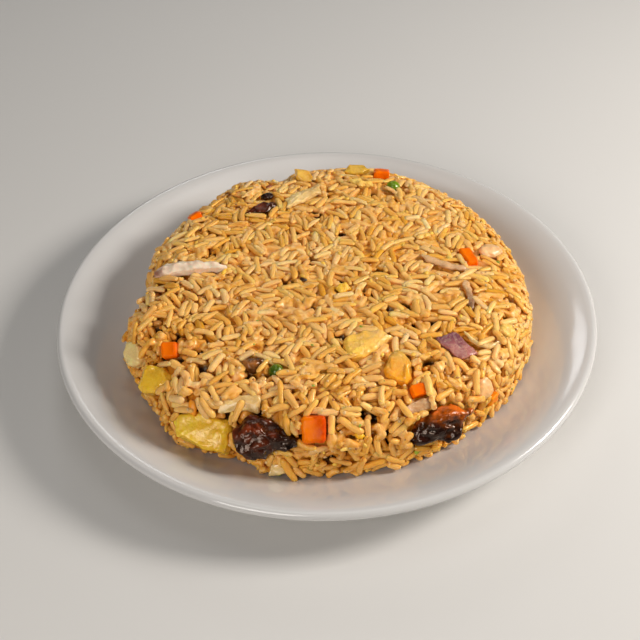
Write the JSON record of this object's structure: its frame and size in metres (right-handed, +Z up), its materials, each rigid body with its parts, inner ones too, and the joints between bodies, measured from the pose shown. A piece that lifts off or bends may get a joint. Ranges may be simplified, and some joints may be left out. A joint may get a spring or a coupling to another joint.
{
  "type": "fried rice plate",
  "caption": "Round coupe plate holding a moulded heap of fried rice with roast pork, pineapple, carrot dice, peas, onion, chicken and egg.",
  "frame": {"origin": "middle of the plate's foot ring, on the surface that it stands on", "axes": "+Z up; -Y towards the side with the two large pieces of roast pork; +X to the right of that side"},
  "size_m": [0.26, 0.26, 0.0494],
  "materials": {
    "glazed_porcelain": "glazed",
    "fried_rice": "oily, uneven",
    "pineapple": "moist",
    "roast_pork": "glazed and charred",
    "carrot": "moist",
    "green_pea": "moist",
    "red_onion": "moist",
    "cooked_onion": "moist, half clear",
    "chicken": "satin",
    "egg": "satin"
  },
  "bodies": {
    "root": {"plate": "glazed_porcelain", "rice": "fried_rice", "pineapple_front": "pineapple", "pineapple_left": "pineapple", "pineapple_pale": "pineapple", "pineapple_middle": "pineapple", "pineapple_right": "pineapple", "pineapple_back": "pineapple", "pineapple_rear": "pineapple", "pork_front_left": "roast_pork", "pork_front_right": "roast_pork", "pork_back": "roast_pork", "pork_back_small": "roast_pork", "pork_buried": "roast_pork", "carrot_front": "carrot", "carrot_left": "carrot", "carrot_right": "carrot", "carrot_rear": "carrot", "carrot_rear_left": "carrot", "carrot_small": "carrot", "carrot_low_right": "carrot", "pea_back": "green_pea", "pea_front": "green_pea", "red_onion": "red_onion", "onion_back": "cooked_onion", "onion_front": "cooked_onion", "onion_right": "cooked_onion", "onion_low": "cooked_onion", "onion_strip_upper": "cooked_onion", "onion_strip_lower": "cooked_onion", "onion_strip_bent": "cooked_onion", "chicken_left": "chicken", "chicken_right": "chicken", "chicken_rear": "chicken", "egg_back": "egg", "egg_right": "egg", "egg_middle": "egg"}
  },
  "joints": []
}
